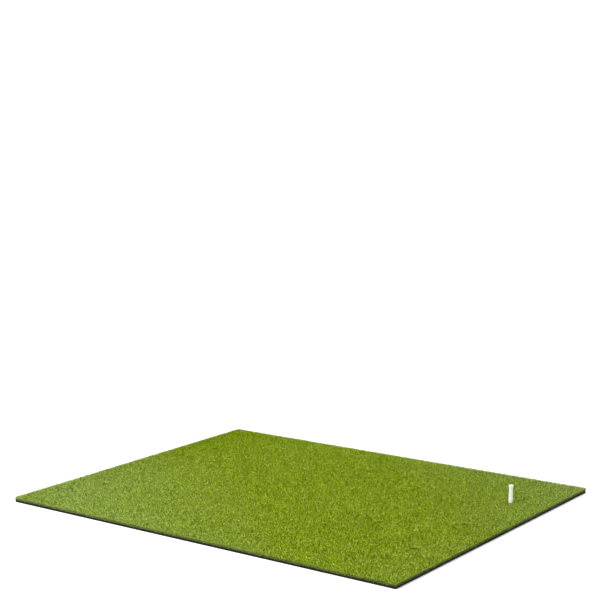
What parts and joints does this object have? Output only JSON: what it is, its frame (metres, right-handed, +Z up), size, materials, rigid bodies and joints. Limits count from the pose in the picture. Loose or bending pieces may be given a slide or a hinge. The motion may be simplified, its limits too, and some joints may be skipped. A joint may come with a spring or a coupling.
{
  "type": "golf hitting mat",
  "caption": "Rectangular golf hitting mat of green tufted turf on a black foam pad, with tee holes along both short sides and a removable rubber tee.",
  "frame": {"origin": "middle of the underside, on the floor", "axes": "+X along the long side, +Y along the short side, +Z up out of the turf; the tee stands near the +X +Y corner"},
  "size_m": [1.524, 1.2192, 0.0762],
  "materials": {
    "foam": "matt closed-cell foam with a fine skin",
    "adhesive": "dull cured adhesive",
    "latex": "matt, filled latex",
    "backing": "plain-woven flat tape yarn",
    "turf": "short, dense, crimped polymer yarn",
    "tee_rubber": "satin moulded rubber"
  },
  "bodies": {
    "mat": {"foam_base": "foam", "adhesive_film": "adhesive", "latex_coating": "latex", "woven_backing": "backing", "turf_pile": "turf"},
    "tee": {"rubber_tee": "tee_rubber"}
  },
  "joints": [
    {"name": "tee_slide", "type": "slide", "parent": "mat", "child": "tee", "axis": [0, 0, 1], "range_m": [-0.078, 0]}
  ]
}
